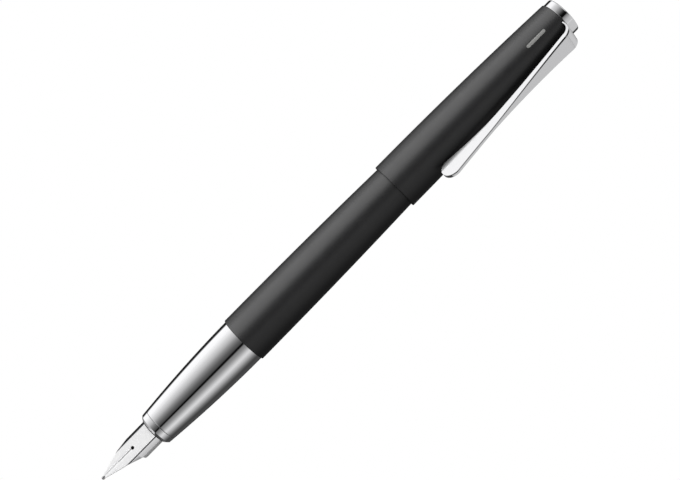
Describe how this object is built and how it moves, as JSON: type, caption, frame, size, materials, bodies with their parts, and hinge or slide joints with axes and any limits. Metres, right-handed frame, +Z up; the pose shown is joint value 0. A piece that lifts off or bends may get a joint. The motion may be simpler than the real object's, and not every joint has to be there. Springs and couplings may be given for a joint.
{
  "type": "fountain pen",
  "caption": "Slim fountain pen with a folded steel nib, bright grip, matt black barrel and a clipped cap posted on the barrel's tail; cap, section, nib, converter and clip move.",
  "frame": {"origin": "centre of the part's box on the table that the pen lies on", "axes": "+X along the pen from the nib to the cap's head, +Z up from the table, the clip on the -Y side"},
  "size_m": [0.156, 0.0166, 0.0128],
  "materials": {
    "bright_chrome": "polished chrome",
    "nib_steel": "satin stainless steel",
    "tipping_metal": "polished hard alloy",
    "spring_steel": "plain steel",
    "matt_black": "matt black lacquer",
    "brass": "turned brass",
    "black_plastic": "moulded black plastic",
    "grey_plastic": "moulded grey plastic",
    "red_plastic": "moulded red plastic",
    "clear_plastic": "clear moulded plastic",
    "seal_rubber": "soft black rubber"
  },
  "bodies": {
    "barrel": {"barrel_shell": "matt_black", "barrel_thread_bush": "brass", "barrel_tail_disc": "bright_chrome"},
    "washer": {"joint_washer": "seal_rubber"},
    "section": {"grip_shell": "bright_chrome", "grip_front_ring": "bright_chrome", "section_core": "black_plastic", "feed": "black_plastic"},
    "nib": {"nib": "nib_steel", "nib_tipping": "tipping_metal"},
    "converter": {"converter_tube": "clear_plastic", "converter_mouth": "grey_plastic", "converter_collar": "bright_chrome", "spindle_nut": "black_plastic"},
    "piston": {"piston_seal": "seal_rubber", "piston_rod": "grey_plastic"},
    "knob": {"converter_knob": "red_plastic"},
    "cap": {"cap_shell": "matt_black", "inner_cap": "grey_plastic", "cap_head": "bright_chrome", "clip_carrier": "spring_steel", "clip_pin": "spring_steel", "clip_spring": "spring_steel", "cap_screw": "spring_steel"},
    "clip": {"clip": "bright_chrome"}
  },
  "joints": [
    {"name": "cap_pull", "type": "slide", "parent": "barrel", "child": "cap", "axis": [1, 0, 0], "range_m": [0, 0.03]},
    {"name": "clip_lift", "type": "hinge", "parent": "cap", "child": "clip", "pos_m": [0.0748, -0.00072, 0.00492], "axis": [0, -0.5147, 0.8574], "range_deg": [0, 4], "stiffness_Nm_per_rad": 0.8, "springref_deg": -2.01},
    {"name": "section_out", "type": "slide", "parent": "barrel", "child": "washer", "axis": [-1, 0, 0], "range_m": [0, 0.0045]},
    {"name": "section_turn", "type": "hinge", "parent": "washer", "child": "section", "pos_m": [-0.0309, 0.00177, 0.00641], "axis": [-1, 0, 0], "range_deg": [0, 2025]},
    {"name": "nib_pull", "type": "slide", "parent": "section", "child": "nib", "axis": [-1, 0, 0], "range_m": [0, 0.0095]},
    {"name": "converter_pull", "type": "slide", "parent": "section", "child": "converter", "axis": [1, 0, 0], "range_m": [0, 0.009]},
    {"name": "knob_turn", "type": "hinge", "parent": "converter", "child": "knob", "pos_m": [0.012, 0.00177, 0.00641], "axis": [1, 0, 0], "range_deg": [0, 1200]},
    {"name": "piston_travel", "type": "slide", "parent": "converter", "child": "piston", "axis": [1, 0, 0], "range_m": [0, 0.02]}
  ],
  "couplings": [
    {"joint": "section_turn", "follows": "section_out", "rad_per_m": 7854},
    {"joint": "knob_turn", "follows": "piston_travel", "rad_per_m": 1047.2}
  ]
}
